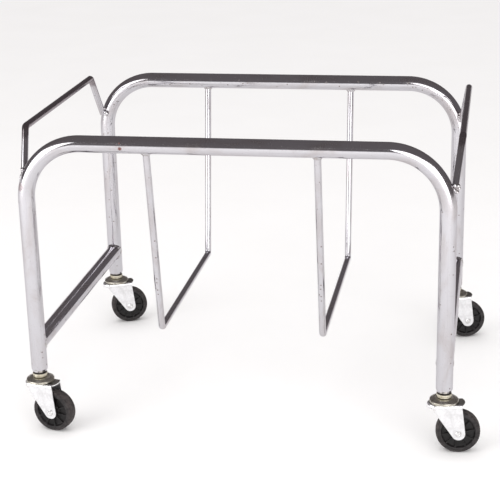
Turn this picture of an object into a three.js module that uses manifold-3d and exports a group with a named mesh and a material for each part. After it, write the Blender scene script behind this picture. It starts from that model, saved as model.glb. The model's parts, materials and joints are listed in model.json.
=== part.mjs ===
// Linen trolley: two bent tube frames joined by two lower crossbars, two flared
// end handles, two hanging bag cradles and four swivel casters.
// Millimetres, +Z up, +X along the length, +Y from the front frame to the rear one.
// The origin is on the floor, at the centre of the overall bounding box.
import * as THREE from 'three';
import { mergeVertices } from 'three/addons/utils/BufferGeometryUtils.js';
import Module from 'manifold-3d';

const wasm = await Module();
wasm.setup();

// ---------------------------------------------------------------- dimensions
const GAP = 0.3;                 // clearance between touching pieces

// main tube frames, 38 mm tube with a 1.5 mm wall
const TUBE_R = 19;
const TUBE_BORE = 17.5;
const HALF_LENGTH = 470;         // leg axis to the middle, along X
const HALF_WIDTH = 340;          // rail axis to the middle, along Y
const LEG_END_Z = 145;           // open lower end of each leg
const RAIL_Z = 695;              // rail centreline
const BEND_R = 131;              // bend centreline radius
const BEND_STEPS = 7;
const TUBE_SIDES = 16;
const BORE_SIDES = 12;

// lower crossbars, same tube as the frames
const CROSSBAR_Z = 212;

// 16 mm tube for handles and cradles
const ROD_R = 8;
const ROD_BORE = 6.5;
const ROD_SIDES = 12;
const ROD_BORE_SIDES = 8;
const ROD_CORNER = 11;           // tight corner, centreline radius
const ROD_CORNER_STEPS = 3;

// end handles: foot on the outer side of the tube bend, grip above and inboard
const HANDLE_FOOT = { dx: 8, y: 321, z: RAIL_Z - 84 };
const HANDLE_LEFT = { dx: 17, y: 264, z: RAIL_Z + 18 };
const HANDLE_RIGHT = { dx: 24, y: 248, z: RAIL_Z + 13 };

// hanging cradles
const CRADLE_X = 189;
const CRADLE_TOP_Y = 340;
const CRADLE_TOP_Z = RAIL_Z - 10;
const CRADLE_LOW_Y = 268;
const CRADLE_LOW_Z = 238;

// casters
const WHEEL_R = 50;
const WHEEL_SIDES = 20;
const TRAIL = 32.5;              // wheel axle behind the swivel axis
const FORK_TOP = 120;            // upper face of the fork's crown plate
const FORK_T = 2.5;              // fork sheet thickness
const FORK_HALF = 22;            // half the outer width over the fork's legs
const FORK_CORNER = 39;          // rear corners of the crown, over the legs' rear edges
const FORK_REAR = 47;            // middle of the crown's bowed rear edge
const FORK_NOSE = 17;            // centre of the rounded nose, ahead of the swivel axis
const FORK_END_R = 15;
const FORK_FRONT_Z = 95.4;       // where the leg's front edge leaves the straight side and slants down
const FORK_GUSSET_Z = 102;       // lower end of the skirt carried on round the nose
const FORK_GUSSET_ANGLE = 0.45;  // how far it is carried, rad
const AXLE_R = 4;
const KINGPIN_R = 8;
const CASTERS = [
  { name: 'front_left', x: -HALF_LENGTH, y: -HALF_WIDTH, heading: -12 },
  { name: 'front_right', x: HALF_LENGTH, y: -HALF_WIDTH, heading: 6 },
  { name: 'rear_left', x: -HALF_LENGTH, y: HALF_WIDTH, heading: 22 },
  { name: 'rear_right', x: HALF_LENGTH, y: HALF_WIDTH, heading: 18 },
];

// the middle of the four legs, measured from the centre of the bounding box
const LEGS_X = -22.24;
const LEGS_Y = -5.2;

// ---------------------------------------------------------------- materials
const metal = (color, roughness, metalness = 1) =>
  new THREE.MeshStandardMaterial({ color, roughness, metalness });
const chrome = () => metal(0xc9c6cc, 0.16);
const zinc = () => metal(0xc4c8ca, 0.38);
const yellowZinc = () => metal(0xc9c2a4, 0.42);
const steel = () => metal(0x8d8d8f, 0.3);
const blackPlastic = () => metal(0x1d1b1c, 0.55, 0);

// ---------------------------------------------------------------- helpers
// A path through given stations, straight between them, with mitred sections.
class StationPath extends THREE.Curve {
  constructor(points) {
    super();
    this.points = points;
  }
  getUtoTmapping(u) {
    return u;
  }
  station(t) {
    return Math.min(this.points.length - 1, Math.max(0, Math.round(t * (this.points.length - 1))));
  }
  getPoint(t, target = new THREE.Vector3()) {
    return target.copy(this.points[this.station(t)]);
  }
  getTangent(t, target = new THREE.Vector3()) {
    const i = this.station(t);
    const before = this.points[Math.max(0, i - 1)];
    const here = this.points[i];
    const after = this.points[Math.min(this.points.length - 1, i + 1)];
    const a = here.clone().sub(before);
    const b = after.clone().sub(here);
    if (a.lengthSq() > 0) a.normalize();
    if (b.lengthSq() > 0) b.normalize();
    return target.copy(a.add(b)).normalize();
  }
}

// Corner points joined by straight runs, with each inner corner rounded.
function roundedPath(corners, radius, steps) {
  const out = [corners[0].clone()];
  for (let i = 1; i < corners.length - 1; i++) {
    const p = corners[i];
    const a = corners[i - 1].clone().sub(p).normalize();
    const b = corners[i + 1].clone().sub(p).normalize();
    const half = a.angleTo(b) / 2;
    const setback = radius / Math.tan(half);
    const centre = p.clone().add(a.clone().add(b).normalize().multiplyScalar(radius / Math.sin(half)));
    const from = p.clone().addScaledVector(a, setback).sub(centre);
    const to = p.clone().addScaledVector(b, setback).sub(centre);
    const axis = from.clone().cross(to).normalize();
    const sweepAngle = from.angleTo(to);
    for (let k = 0; k <= steps; k++) {
      out.push(from.clone().applyAxisAngle(axis, (sweepAngle * k) / steps).add(centre));
    }
  }
  out.push(corners[corners.length - 1].clone());
  return out;
}

// A regular polygon whose flats lie on the given radius, with a flat on each axis.
function polygon(Kind, apothem, sides) {
  const r = apothem / Math.cos(Math.PI / sides);
  const pts = [];
  for (let i = 0; i < sides; i++) {
    const a = ((i + 0.5) * 2 * Math.PI) / sides;
    pts.push(new THREE.Vector2(r * Math.cos(a), r * Math.sin(a)));
  }
  return new Kind(pts);
}

function tubeAlong(points, radius, sides, bore = 0, boreSides = sides) {
  const section = polygon(THREE.Shape, radius, sides);
  if (bore > 0) section.holes.push(polygon(THREE.Path, bore, boreSides));
  return new THREE.ExtrudeGeometry(section, {
    steps: points.length - 1,
    extrudePath: new StationPath(points),
    bevelEnabled: false,
  });
}

function extrudeUp(shape, z0, z1) {
  const g = new THREE.ExtrudeGeometry(shape, { depth: z1 - z0, bevelEnabled: false, steps: 1, curveSegments: 5 });
  g.translate(0, 0, z0);
  return g;
}

// A body turned about +Z. The profile is [radius, z] pairs, anticlockwise.
function turned(profile, sides) {
  const pts = profile.map(([r, z]) => new THREE.Vector2(r, z));
  if (profile[0][0] > 0) pts.push(pts[0].clone());
  const g = new THREE.LatheGeometry(pts, sides, Math.PI / sides);
  g.rotateX(Math.PI / 2);
  return g;
}

function toSolid(geometry) {
  const g = geometry.clone();
  g.deleteAttribute('normal');
  g.deleteAttribute('uv');
  const m = mergeVertices(g, 1e-4);
  const index = m.index.array;
  const tris = [];
  for (let i = 0; i < index.length; i += 3) {
    const [a, b, c] = [index[i], index[i + 1], index[i + 2]];
    if (a !== b && b !== c && c !== a) tris.push(a, b, c);
  }
  return new wasm.Manifold(new wasm.Mesh({
    numProp: 3,
    vertProperties: new Float32Array(m.attributes.position.array),
    triVerts: new Uint32Array(tris),
  }));
}

function toGeometry(solid) {
  const mesh = solid.getMesh();
  const g = new THREE.BufferGeometry();
  g.setAttribute('position', new THREE.BufferAttribute(new Float32Array(mesh.vertProperties), 3));
  g.setIndex(new THREE.BufferAttribute(new Uint32Array(mesh.triVerts), 1));
  g.computeVertexNormals();
  return g;
}

function union(...solids) {
  return solids.reduce((a, b) => a.add(b));
}

function piece(name, geometry, material, parent) {
  const mesh = new THREE.Mesh(geometry, material);
  mesh.name = name;
  parent.add(mesh);
  return mesh;
}

const v = (x, y, z) => new THREE.Vector3(x, y, z);

// ---------------------------------------------------------------- tube frames
function framePath(y) {
  return roundedPath([
    v(-HALF_LENGTH, y, LEG_END_Z),
    v(-HALF_LENGTH, y, RAIL_Z),
    v(HALF_LENGTH, y, RAIL_Z),
    v(HALF_LENGTH, y, LEG_END_Z),
  ], BEND_R, BEND_STEPS);
}
const frameTube = (y) => tubeAlong(framePath(y), TUBE_R, TUBE_SIDES, TUBE_BORE, BORE_SIDES);
const frameCutter = (y) => toSolid(tubeAlong(framePath(y), TUBE_R + GAP, TUBE_SIDES));
const frontCutter = frameCutter(-HALF_WIDTH);
const rearCutter = frameCutter(HALF_WIDTH);
const clearOfFrames = (solid) => solid.subtract(frontCutter).subtract(rearCutter);

const trolley = new THREE.Group();
const body = new THREE.Group();
body.position.set(LEGS_X, LEGS_Y, 0);
trolley.add(body);

piece('front_tube_frame', frameTube(-HALF_WIDTH), chrome(), body);
piece('rear_tube_frame', frameTube(HALF_WIDTH), chrome(), body);

// ---------------------------------------------------------------- crossbars
// Each end is coped round its leg. The bar runs just past the near wall of the
// leg and the leg's clearance trims it, which leaves the bore open at both ends.
function crossbar(x) {
  const reach = HALF_WIDTH - 6;
  const bar = toSolid(tubeAlong([v(x, -reach, CROSSBAR_Z), v(x, reach, CROSSBAR_Z)], TUBE_R, TUBE_SIDES, TUBE_BORE, BORE_SIDES));
  const parts = clearOfFrames(bar).decompose();
  parts.sort((a, b) => b.volume() - a.volume());
  return toGeometry(parts[0]);
}
piece('left_crossbar', crossbar(-HALF_LENGTH), chrome(), body);
piece('right_crossbar', crossbar(HALF_LENGTH), chrome(), body);

// ---------------------------------------------------------------- handles
function handle(side, grip) {
  const xf = side * (HALF_LENGTH + HANDLE_FOOT.dx);
  const xg = side * (HALF_LENGTH + grip.dx);
  const path = roundedPath([
    v(xf, -HANDLE_FOOT.y, HANDLE_FOOT.z),
    v(xg, -grip.y, grip.z),
    v(xg, grip.y, grip.z),
    v(xf, HANDLE_FOOT.y, HANDLE_FOOT.z),
  ], ROD_CORNER, ROD_CORNER_STEPS);
  const rod = toSolid(tubeAlong(path, ROD_R, ROD_SIDES, ROD_BORE, ROD_BORE_SIDES));
  const parts = clearOfFrames(rod).decompose();
  parts.sort((a, b) => b.volume() - a.volume());
  return toGeometry(parts[0]);
}
piece('left_handle', handle(-1, HANDLE_LEFT), chrome(), body);
piece('right_handle', handle(1, HANDLE_RIGHT), chrome(), body);

// ---------------------------------------------------------------- cradles
function cradle(x) {
  const path = roundedPath([
    v(x, -CRADLE_TOP_Y, CRADLE_TOP_Z),
    v(x, -CRADLE_LOW_Y, CRADLE_LOW_Z),
    v(x, CRADLE_LOW_Y, CRADLE_LOW_Z),
    v(x, CRADLE_TOP_Y, CRADLE_TOP_Z),
  ], ROD_CORNER, ROD_CORNER_STEPS);
  const rod = toSolid(tubeAlong(path, ROD_R, ROD_SIDES, ROD_BORE, ROD_BORE_SIDES));
  const parts = clearOfFrames(rod).decompose();
  parts.sort((a, b) => b.volume() - a.volume());
  return toGeometry(parts[0]);
}
piece('left_cradle', cradle(-CRADLE_X), chrome(), body);
piece('right_cradle', cradle(CRADLE_X), chrome(), body);

// ---------------------------------------------------------------- casters
// Local frame: the swivel axis is +Z through the origin, the wheel trails along +X.
function stemSocket() {
  // a plug inside the leg with a flange under the tube's open end
  return turned([
    [8.6, 141.6], [16.4, 141.6], [16.4, LEG_END_Z - GAP], [17.0, LEG_END_Z - GAP],
    [17.0, 186], [8.6, 186],
  ], 12);
}
function lockCollar() {
  return turned([
    [8.6, 132.4], [16.2, 132.4], [16.2, 136.6], [17.6, 137.6], [17.6, 141.3], [8.6, 141.3],
  ], 12);
}
function racewayCap() {
  // a dished disc with a short turned-down rim
  return turned([
    [8.6, 129.4], [24, 129.4], [26.8, 126.6], [30.6, 125.6], [30.6, 121.6],
    [32.8, 121.6], [32.8, 127.2], [27.6, 128.8], [25, 132.1], [8.6, 132.1],
  ], 16);
}
function kingpin() {
  // a stem from the riveted head under the crown up into the leg's socket
  return turned([
    [0, 112.2], [9, 112.2], [13, 114.2], [13, FORK_TOP - FORK_T - GAP], [KINGPIN_R, FORK_TOP - FORK_T - GAP],
    [KINGPIN_R, 180], [6.5, 183], [0, 183],
  ], 12);
}
function ballRace() {
  // a cage ring joined with its ring of balls
  const ring = toSolid(turned([[18.6, 123.6], [26.2, 123.6], [26.2, 125.2], [18.6, 125.2]], 16));
  const balls = [];
  for (let i = 0; i < 8; i++) {
    const a = ((i + 0.5) * 2 * Math.PI) / 8;
    const ball = new THREE.SphereGeometry(3.6, 5, 4);
    ball.rotateX(Math.PI / 2);
    ball.translate(22.4 * Math.cos(a), 22.4 * Math.sin(a), 124.4);
    balls.push(toSolid(ball));
  }
  return toGeometry(union(ring, ...balls));
}
function fork() {
  const inner = FORK_HALF - FORK_T;
  // crown plate: rounded nose ahead of the swivel axis, bowed rear edge
  const bow = FORK_REAR - FORK_CORNER;
  const bowR = (FORK_HALF * FORK_HALF + bow * bow) / (2 * bow);
  const bowAngle = Math.asin(FORK_HALF / bowR);
  const crown = new THREE.Shape();
  crown.moveTo(-FORK_NOSE, -FORK_HALF);
  crown.absarc(FORK_REAR - bowR, 0, bowR, -bowAngle, bowAngle, false);
  crown.lineTo(-FORK_NOSE, FORK_HALF);
  crown.absarc(-FORK_NOSE, 0, FORK_HALF, Math.PI / 2, (3 * Math.PI) / 2, false);
  const holeSides = 12;
  crown.holes.push(polygon(THREE.Path, KINGPIN_R + 0.8, holeSides));
  let solid = toSolid(extrudeUp(crown, FORK_TOP - FORK_T, FORK_TOP));
  // turned-down lip round the nose
  const lip = new THREE.Shape();
  lip.absarc(-FORK_NOSE, 0, FORK_HALF, Math.PI / 2, (3 * Math.PI) / 2, false);
  lip.lineTo(-FORK_NOSE, -inner);
  lip.absarc(-FORK_NOSE, 0, inner, (3 * Math.PI) / 2, Math.PI / 2, true);
  solid = solid.add(toSolid(extrudeUp(lip, FORK_TOP - 10.5, FORK_TOP - 0.5)));
  // the skirt of each leg carried a little way round the nose, below the lip
  for (const from of [Math.PI / 2, (3 * Math.PI) / 2 - FORK_GUSSET_ANGLE]) {
    const gusset = new THREE.Shape();
    gusset.absarc(-FORK_NOSE, 0, FORK_HALF, from, from + FORK_GUSSET_ANGLE, false);
    gusset.absarc(-FORK_NOSE, 0, inner, from + FORK_GUSSET_ANGLE, from, true);
    solid = solid.add(toSolid(extrudeUp(gusset, FORK_GUSSET_Z, FORK_TOP - 9)));
  }
  // two tapered legs with round lower ends and a hole for the axle
  const leg = new THREE.Shape();
  leg.moveTo(-FORK_NOSE, FORK_TOP - 1);
  leg.lineTo(-FORK_NOSE, FORK_FRONT_Z);
  const a0 = Math.PI + 0.603;
  leg.lineTo(TRAIL + FORK_END_R * Math.cos(a0), WHEEL_R + FORK_END_R * Math.sin(a0));
  leg.absarc(TRAIL, WHEEL_R, FORK_END_R, a0, 2 * Math.PI + 0.05, false);
  leg.lineTo(FORK_CORNER - 0.4, FORK_TOP - 1);
  const hole = new THREE.Path();
  const pts = [];
  for (let i = 0; i < 12; i++) {
    const a = (i * Math.PI) / 6;
    pts.push(new THREE.Vector2(TRAIL + (AXLE_R + 0.45) * Math.cos(a), WHEEL_R + (AXLE_R + 0.45) * Math.sin(a)));
  }
  hole.setFromPoints(pts);
  leg.holes.push(hole);
  for (const y0 of [inner, -FORK_HALF]) {
    const g = new THREE.ExtrudeGeometry(leg, { depth: FORK_T, bevelEnabled: false, steps: 1, curveSegments: 5 });
    g.rotateX(Math.PI / 2);
    g.translate(0, y0 + FORK_T, 0);
    solid = solid.add(toSolid(g));
  }
  return toGeometry(solid);
}
// pieces on the axle are turned about +Z and laid along +Y
function onAxle(geometry) {
  geometry.rotateX(-Math.PI / 2);
  geometry.translate(TRAIL, 0, WHEEL_R);
  return geometry;
}
function axle() {
  const h = FORK_HALF;
  return onAxle(turned([
    [0, -h - 4], [5.4, -h - 3.6], [7.6, -h - 2.2], [7.6, -h - GAP], [AXLE_R, -h - GAP],
    [AXLE_R, h + GAP], [7.6, h + GAP], [7.6, h + 2.2], [5.4, h + 3.6], [0, h + 4],
  ], 10));
}
function wheelBush() {
  return onAxle(turned([[4.5, -19.1], [7, -19.1], [7, 19.1], [4.5, 19.1]], 10));
}
function wheel() {
  const w = 15;
  const k = Math.cos(Math.PI / WHEEL_SIDES);
  const flat = (r) => r / k;
  return onAxle(turned([
    [7.5, -17.5], [14, -17.5], [15, -8], [flat(37), -8], [flat(38.5), -w], [flat(46), -w],
    [flat(WHEEL_R), -9], [flat(WHEEL_R), 9], [flat(46), w], [flat(38.5), w], [flat(37), 8],
    [15, 8], [14, 17.5], [7.5, 17.5],
  ], WHEEL_SIDES));
}

for (const c of CASTERS) {
  // pieces fixed in the leg
  const fixed = new THREE.Group();
  fixed.position.set(c.x, c.y, 0);
  body.add(fixed);
  piece(`${c.name}_stem_socket`, stemSocket(), steel(), fixed);
  piece(`${c.name}_lock_collar`, lockCollar(), yellowZinc(), fixed);
  piece(`${c.name}_raceway_cap`, racewayCap(), zinc(), fixed);
  piece(`${c.name}_kingpin`, kingpin(), steel(), fixed);
  // pieces that swivel
  const swivel = new THREE.Group();
  swivel.position.set(c.x, c.y, 0);
  swivel.rotation.z = THREE.MathUtils.degToRad(c.heading);
  body.add(swivel);
  piece(`${c.name}_ball_race`, ballRace(), steel(), swivel);
  piece(`${c.name}_fork`, fork(), zinc(), swivel);
  piece(`${c.name}_axle`, axle(), zinc(), swivel);
  piece(`${c.name}_wheel_bush`, wheelBush(), steel(), swivel);
  piece(`${c.name}_wheel`, wheel(), blackPlastic(), swivel);
}

export default trolley;
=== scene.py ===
# Linen trolley: the visible surfaces, their finishes, the light and the camera,
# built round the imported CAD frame. Blender works in metres; the tables below are in millimetres.
import json
import math

import bmesh
import bpy
import numpy as np
from mathutils import Matrix, Vector, noise


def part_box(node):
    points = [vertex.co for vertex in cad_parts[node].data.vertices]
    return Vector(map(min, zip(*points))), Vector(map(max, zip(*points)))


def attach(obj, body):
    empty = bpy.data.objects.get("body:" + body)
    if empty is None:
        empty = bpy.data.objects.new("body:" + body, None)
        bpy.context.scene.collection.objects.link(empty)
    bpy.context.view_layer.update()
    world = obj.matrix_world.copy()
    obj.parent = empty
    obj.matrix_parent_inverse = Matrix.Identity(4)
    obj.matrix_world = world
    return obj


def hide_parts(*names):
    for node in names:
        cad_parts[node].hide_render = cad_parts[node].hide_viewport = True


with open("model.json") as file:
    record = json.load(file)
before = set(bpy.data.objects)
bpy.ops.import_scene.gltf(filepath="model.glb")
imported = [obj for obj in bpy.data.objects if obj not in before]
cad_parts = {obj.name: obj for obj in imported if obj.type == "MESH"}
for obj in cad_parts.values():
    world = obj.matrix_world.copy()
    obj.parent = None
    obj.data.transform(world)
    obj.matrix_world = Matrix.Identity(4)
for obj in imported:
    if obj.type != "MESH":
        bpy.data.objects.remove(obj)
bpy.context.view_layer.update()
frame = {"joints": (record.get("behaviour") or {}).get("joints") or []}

MM = 0.001

# ------------------------------------------------------------------ dimensions, mm
TUBE_R, TUBE_BORE = 19.0, 17.4
ROD_R = 8.0
BEND_R = 131.0
ROD_CORNER = 11.0


def box_mm(node):
    lo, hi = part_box(node)
    return [c / MM for c in lo], [c / MM for c in hi]


f_lo, f_hi = box_mm("front_tube_frame")
r_lo, r_hi = box_mm("rear_tube_frame")
CX = (f_lo[0] + f_hi[0]) / 2
FRONT_Y = (f_lo[1] + f_hi[1]) / 2
REAR_Y = (r_lo[1] + r_hi[1]) / 2
CY = (FRONT_Y + REAR_Y) / 2
HALF_LENGTH = (f_hi[0] - f_lo[0]) / 2 - TUBE_R
HALF_WIDTH = (REAR_Y - FRONT_Y) / 2
LEG_END_Z = f_lo[2]
RAIL_Z = f_hi[2] - TUBE_R
CROSSBAR_Z = 212.0
HANDLE_FOOT = (8, 321, RAIL_Z - 84)
HANDLE_LEFT = (17, 264, RAIL_Z + 18)
HANDLE_RIGHT = (24, 248, RAIL_Z + 13)
CRADLE_X, CRADLE_TOP, CRADLE_LOW = 189, (340, RAIL_Z - 10), (268, 238)


# ------------------------------------------------------------------ mesh helpers
def n3(x, y, z, seed=0.0):
    return noise.noise(Vector((x + seed * 7.31, y - seed * 3.17, z + seed * 1.93)))


def make_object(name, verts, faces, material, body, matrix=None, nodes=(), sharp=38.0, coords=None):
    """One closed piece. verts are in millimetres in the piece's own frame."""
    me = bpy.data.meshes.new(name)
    v = np.asarray(verts, float) * MM
    me.from_pydata([tuple(p) for p in v], [], [tuple(int(i) for i in f) for f in faces])
    me.validate()
    bm = bmesh.new()
    bm.from_mesh(me)
    bmesh.ops.recalc_face_normals(bm, faces=bm.faces)
    bm.to_mesh(me)
    bm.free()
    me.polygons.foreach_set("use_smooth", [True] * len(me.polygons))
    me.set_sharp_from_angle(angle=math.radians(sharp))
    if coords is not None:
        a = me.attributes.new("run", "FLOAT_VECTOR", "POINT")
        a.data.foreach_set("vector", (np.asarray(coords, float) * MM).astype(np.float32).ravel())
    me.materials.append(material)
    ob = bpy.data.objects.new(name, me)
    bpy.context.scene.collection.objects.link(ob)
    if matrix is not None:
        ob.matrix_world = matrix
    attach(ob, body)
    if nodes:
        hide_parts(*nodes)
    return ob


def rounded_path(corners, radius, arc_step_deg, straight_step, fine=()):
    """Points along a polyline with rounded corners: list of (point, distance, bend) where bend is 0 on the
    straights and 1 in the middle of a corner. fine is [(from, to, step)] in distance along the path."""
    corners = [Vector(c) for c in corners]
    pieces = []
    start = corners[0]
    for i in range(1, len(corners) - 1):
        p, a, b = corners[i], corners[i - 1] - corners[i], corners[i + 1] - corners[i]
        a.normalize(), b.normalize()
        half = a.angle(b) / 2
        setback = radius / math.tan(half)
        centre = p + (a + b).normalized() * (radius / math.sin(half))
        s, e = p + a * setback, p + b * setback
        pieces.append(("line", start, s))
        pieces.append(("arc", centre, s, e))
        start = e
    pieces.append(("line", start, corners[-1]))
    out, run = [], 0.0
    for piece in pieces:
        if piece[0] == "line":
            length = (piece[2] - piece[1]).length
            cuts = {0.0, length}
            k = max(1, int(round(length / straight_step)))
            cuts |= {length * j / k for j in range(k + 1)}
            for f0, f1, st in fine:
                x = f0
                while x <= f1 + 1e-6:
                    if run <= x <= run + length:
                        cuts.add(x - run)
                    x += st
            cuts = sorted(cuts)
            keep = [cuts[0]]
            for c in cuts[1:]:
                if c - keep[-1] > 0.35:
                    keep.append(c)
            if length - keep[-1] > 1e-6:
                keep[-1] = length
            for c in keep:
                q = piece[1].lerp(piece[2], c / length)
                if not out or (out[-1][0] - q).length > 0.05:
                    out.append((q, run + c, 0.0))
            run += length
        else:
            centre, s, e = piece[1:]
            va, vb = s - centre, e - centre
            ang = va.angle(vb)
            axis = va.cross(vb).normalized()
            k = max(2, int(math.ceil(math.degrees(ang) / arc_step_deg)))
            for j in range(1, k + 1):
                t = j / k
                q = centre + Matrix.Rotation(ang * t, 3, axis) @ va
                out.append((q, run + ang * radius * t, math.sin(math.pi * t)))
            run += ang * radius
    return out


def carried_frames(points):
    """Tangent and two normals at each point, carried along without twist."""
    n = len(points)
    tangents = []
    for i in range(n):
        a = points[max(0, i - 1)]
        b = points[min(n - 1, i + 1)]
        c = points[i]
        t = (c - a).normalized() + (b - c).normalized() if 0 < i < n - 1 else (b - a)
        tangents.append(t.normalized())
    ref = Vector((0, 1, 0)) if abs(tangents[0].y) < 0.9 else Vector((1, 0, 0))
    normal = (ref - tangents[0] * ref.dot(tangents[0])).normalized()
    frames = []
    for i in range(n):
        t = tangents[i]
        if i:
            axis = tangents[i - 1].cross(t)
            if axis.length > 1e-9:
                normal = Matrix.Rotation(tangents[i - 1].angle(t), 3, axis.normalized()) @ normal
        normal = (normal - t * normal.dot(t)).normalized()
        frames.append((t, normal, t.cross(normal)))
    return frames


def sweep(stations, sides, radius_at, ends=("open", "open"), bore=0.0, depth=30.0, shape=None):
    """A tube along stations [(point, distance, bend)]. radius_at(s, length) is the outer radius. An open end shows the wall and
    a blind bore, a closed end is capped. shape(point, outward, s, angle, bend) may return a further radial offset, mm."""
    pts = [s[0] for s in stations]
    fr = carried_frames(pts)
    total = stations[-1][1]
    verts, coords, rings = [], [], []

    def ring(i, r, wobble=True, shift=0.0):
        p, s, bend = stations[i]
        t, a, b = fr[i]
        idx = []
        for k in range(sides):
            ang = 2 * math.pi * k / sides
            out = a * math.cos(ang) + b * math.sin(ang)
            rr = r
            if wobble and shape:
                rr += shape(p, out, s, ang, bend)
            q = p + out * rr + t * shift
            idx.append(len(verts))
            verts.append(q[:])
            coords.append((r * math.cos(ang), r * math.sin(ang), s + shift))
        return idx

    n = len(stations)
    if ends[0] == "open":
        for d in (depth, depth * 0.5, 1.2, 0.0):
            rings.append(ring(0, bore + (radius_at(0, total) - TUBE_R if d < 8 else 0) + (0.35 if d == 0 else 0), False, d))
        rings.append(ring(0, radius_at(0, total) - 0.4, False, 0.0))
    for i in range(n):
        rings.append(ring(i, radius_at(stations[i][1], total)))
    if ends[1] == "open":
        rings.append(ring(n - 1, radius_at(total, total) - 0.4, False, 0.0))
        for d in (0.0, 1.2, depth * 0.5, depth):
            rings.append(ring(n - 1, bore + (radius_at(total, total) - TUBE_R if d < 8 else 0) + (0.35 if d == 0 else 0), False, -d))
    faces = []
    for a, b in zip(rings[:-1], rings[1:]):
        for k in range(sides):
            m = (k + 1) % sides
            faces.append((a[k], a[m], b[m], b[k]))
    faces.append(tuple(reversed(rings[0])))
    faces.append(tuple(rings[-1]))
    return verts, faces, coords


def soften(profile, seg=4):
    """Rounds the corners of a profile given as (r, z, corner radius)."""
    out = []
    n = len(profile)
    for i, (r, z, rad) in enumerate(profile):
        if rad <= 0:
            out.append((r, z))
            continue
        p = Vector((r, z))
        a = Vector(profile[i - 1][:2]) - p
        b = Vector(profile[(i + 1) % n][:2]) - p
        la, lb = a.length, b.length
        a.normalize(), b.normalize()
        half = a.angle(b) / 2
        set_ = min(rad / math.tan(half), la * 0.49, lb * 0.49)
        rad2 = set_ * math.tan(half)
        c = p + (a + b).normalized() * (rad2 / math.sin(half))
        s, e = p + a * set_ - c, p + b * set_ - c
        a0, a1 = math.atan2(s.y, s.x), math.atan2(e.y, e.x)
        d = (a1 - a0 + math.pi) % (2 * math.pi) - math.pi
        for k in range(seg + 1):
            t = a0 + d * k / seg
            out.append((c.x + rad2 * math.cos(t), c.y + rad2 * math.sin(t)))
    return out


def lathe(profile, sides, bump=None):
    """Turns (r, z) pairs about +Z. A profile that starts on the axis ends on it; any other closes on itself."""
    verts, rings = [], []
    for r, z in profile:
        if r < 1e-6:
            rings.append([len(verts)])
            verts.append((0, 0, z))
            continue
        idx = []
        for k in range(sides):
            a = 2 * math.pi * k / sides
            rr, zz = (r, z) if bump is None else bump(r, z, a)
            idx.append(len(verts))
            verts.append((rr * math.cos(a), rr * math.sin(a), zz))
        rings.append(idx)
    closed = len(rings[0]) > 1
    pairs = list(zip(rings[:-1], rings[1:])) + ([(rings[-1], rings[0])] if closed else [])
    faces = []
    for a, b in pairs:
        for k in range(sides):
            m = (k + 1) % sides
            if len(a) == 1 and len(b) == 1:
                continue
            if len(a) == 1:
                faces.append((a[0], b[m], b[k]))
            elif len(b) == 1:
                faces.append((a[k], a[m], b[0]))
            else:
                faces.append((a[k], a[m], b[m], b[k]))
    return verts, faces


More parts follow.
